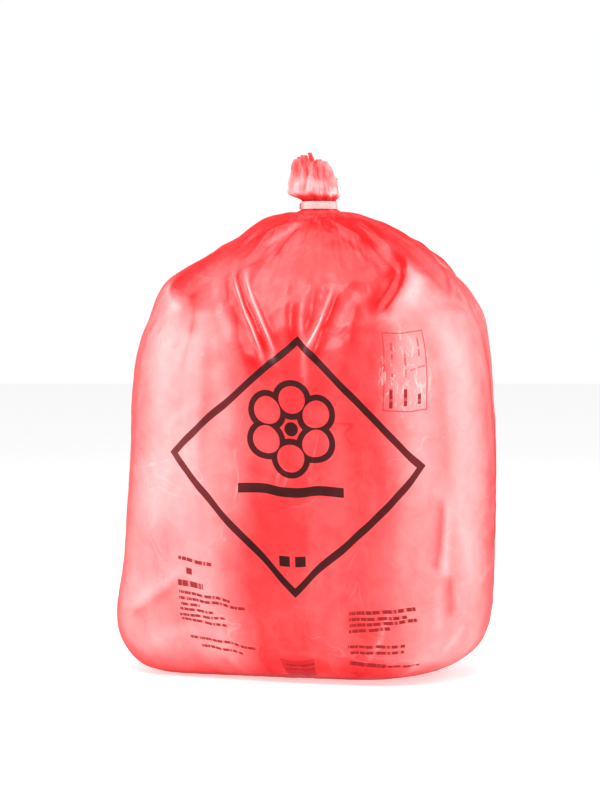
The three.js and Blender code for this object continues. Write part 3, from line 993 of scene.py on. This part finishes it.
    # the ink lies in the film's colour, so it is redder where the film is pale, painted highlights included
    ink = bench.node("ShaderNodeGroup", node_tree=face_print)
    bench.feed(ink.inputs["Place"], film_place)
    on_face = bench.step(side, 0.3, 0.29)
    dark_ink = bench.ramp(pale, [(0.2, (0.012, 0.0, 0.0)), (0.95, (0.16, 0.0, 0.003))])
    film = bench.mix(bench.product(ink.outputs["Faint"], 0.7, on_face), film, FAINT_INK)
    film = bench.mix(bench.product(ink.outputs["Fine"], 0.95), film, FINE_INK)
    film = bench.mix(bench.product(ink.outputs["Dark"], 0.96), film, dark_ink)
    bench.feed(shader.inputs["Base Color"], film)

    surface = bench.node("ShaderNodeGroup", node_tree=skin)
    bench.feed(surface.inputs["Place"], place)
    surface.inputs["Grain"].default_value = 24.0
    gloss = bench.sum(0.3, bench.product(surface.outputs["Gloss"], 0.16))
    gloss = bench.sum(gloss, bench.product(ink.outputs["Dark"], 0.06))
    bench.feed(shader.inputs["Roughness"], gloss)
    cells = bench.node("ShaderNodeTexVoronoi", {
        "Vector": bench.stretched(place, (1, 1, 0.55)), "Scale": 17.0}, feature="DISTANCE_TO_EDGE")
    crease = bench.step(cells.outputs["Distance"], 0.0, 0.09)
    gathers = bench.noise(ring, 13.0, 3, 0.55)
    gathered = bench.product(gathers, bench.step(up, 0.42, 0.62), bench.step(up, 0.8, 0.7))
    crumple = bench.product(bench.noise(bench.stretched(film_place, (1, 0.5, 1)), 90.0, 3, 0.6, 1.2), creased)
    height = bench.sum(surface.outputs["Height"], bench.product(crease, 0.12))
    height = bench.sum(height, bench.sum(bench.product(gathered, 1.6), bench.product(crumple, 1.2)))
    height = bench.sum(height, bench.product(mottle, 0.35))
    bump = bench.node("ShaderNodeBump", {"Height": height, "Strength": 0.5, "Distance": 1.6 * MM})
    bench.feed(shader.inputs["Normal"], bump.outputs["Normal"])
    shader.inputs["Coat Weight"].default_value = 0.12
    shader.inputs["Coat Roughness"].default_value = 0.14
    shader.inputs["IOR"].default_value = 1.5
    shader.inputs["Specular IOR Level"].default_value = 0.36
    return made


def tie_material(skin):
    """Pale, cloudy nylon: a little pinker where the film shows through it."""
    made, bench, shader = material("pale_tie")
    place = bench.node("ShaderNodeTexCoord").outputs["Object"]
    surface = bench.node("ShaderNodeGroup", node_tree=skin)
    bench.feed(surface.inputs["Place"], place)
    surface.inputs["Grain"].default_value = 90.0
    cloudy = bench.noise(place, 60.0, 3)
    bench.feed(shader.inputs["Base Color"], bench.ramp(cloudy, [
        (0.3, (0.72, 0.42, 0.4)),
        (0.7, (0.83, 0.64, 0.61)),
    ]))
    bench.feed(shader.inputs["Roughness"], bench.sum(0.3, bench.product(surface.outputs["Gloss"], 0.25)))
    bump = bench.node("ShaderNodeBump", {
        "Height": surface.outputs["Height"], "Strength": 0.4, "Distance": 0.3 * MM})
    bench.feed(shader.inputs["Normal"], bump.outputs["Normal"])
    return made


# The bag

film = make_film()
film = settle(film)
film = finish_surface(film)
film.data.materials.clear()
plastic_skin = make_haze()
film.data.materials.append(film_material(plastic_skin, make_creases(), make_print()))
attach(film, "root")
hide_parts("bag")

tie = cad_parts["neck_tie"]
tie.data.materials.clear()
tie.data.materials.append(tie_material(plastic_skin))


# The studio

def soft_box(name, place, width, height, power):
    light = bpy.data.lights.new(name, "AREA")
    light.shape = "RECTANGLE"
    light.size = width
    light.size_y = height
    light.energy = power
    thing = bpy.data.objects.new(name, light)
    thing.location = place
    thing.rotation_mode = "QUATERNION"
    thing.rotation_quaternion = (LIGHTS_AIM - Vector(place)).to_track_quat("-Z", "Y")
    bpy.context.scene.collection.objects.link(thing)


def make_floor():
    bm = bmesh.new()
    bmesh.ops.create_grid(bm, x_segments=1, y_segments=1, size=FLOOR_SIZE)
    mesh = bpy.data.meshes.new("floor")
    bm.to_mesh(mesh)
    bm.free()
    floor = new_object("floor", mesh)
    made, _, shader = material("pale_floor")
    shader.inputs["Base Color"].default_value = (0.93, 0.93, 0.93, 1)
    shader.inputs["Emission Color"].default_value = (1, 1, 1, 1)
    shader.inputs["Emission Strength"].default_value = 0.5
    shader.inputs["Roughness"].default_value = 0.9
    mesh.materials.append(made)
    floor.visible_glossy = False  # a black card would hide it from the film's reflections in the studio


def make_camera():
    camera = bpy.data.cameras.new("camera")
    camera.lens = camera.sensor_width * CAMERA_DISTANCE / VIEW_HEIGHT
    thing = bpy.data.objects.new("camera", camera)
    back = Vector((0, -math.cos(CAMERA_ELEVATION), math.sin(CAMERA_ELEVATION)))
    thing.location = CAMERA_TARGET + back * CAMERA_DISTANCE
    thing.rotation_mode = "QUATERNION"
    thing.rotation_quaternion = (-back).to_track_quat("-Z", "Y")
    bpy.context.scene.collection.objects.link(thing)
    bpy.context.scene.camera = thing


def make_world():
    world = bpy.data.worlds.new("studio")
    world.use_nodes = True
    bench = Bench(world.node_tree)
    background = world.node_tree.nodes["Background"]
    background.inputs["Color"].default_value = (1, 1, 1, 1)
    path = bench.node("ShaderNodeLightPath").outputs
    strength = bench.sum(ROOM_LIGHT, bench.product(path["Is Camera Ray"], ROOM_SEEN - ROOM_LIGHT))
    strength = bench.sum(strength, bench.product(path["Is Glossy Ray"], ROOM_GLOSS - ROOM_LIGHT))
    bench.feed(background.inputs["Strength"], strength)
    bpy.context.scene.world = world
    bpy.context.scene.view_settings.view_transform = "Standard"


make_floor()
make_camera()
make_world()
# place, width, height and power in watts
soft_box("left_softbox", (-1.5, 0.1, 0.7), 1.0, 1.4, 11)
soft_box("right_softbox", (1.5, 0.1, 0.7), 1.0, 1.4, 11)
soft_box("top_softbox", (0, -0.3, 2.2), 1.6, 1.2, 18)
soft_box("front_softbox", (-0.4, -1.7, 2.3), 1.6, 1.0, 42)
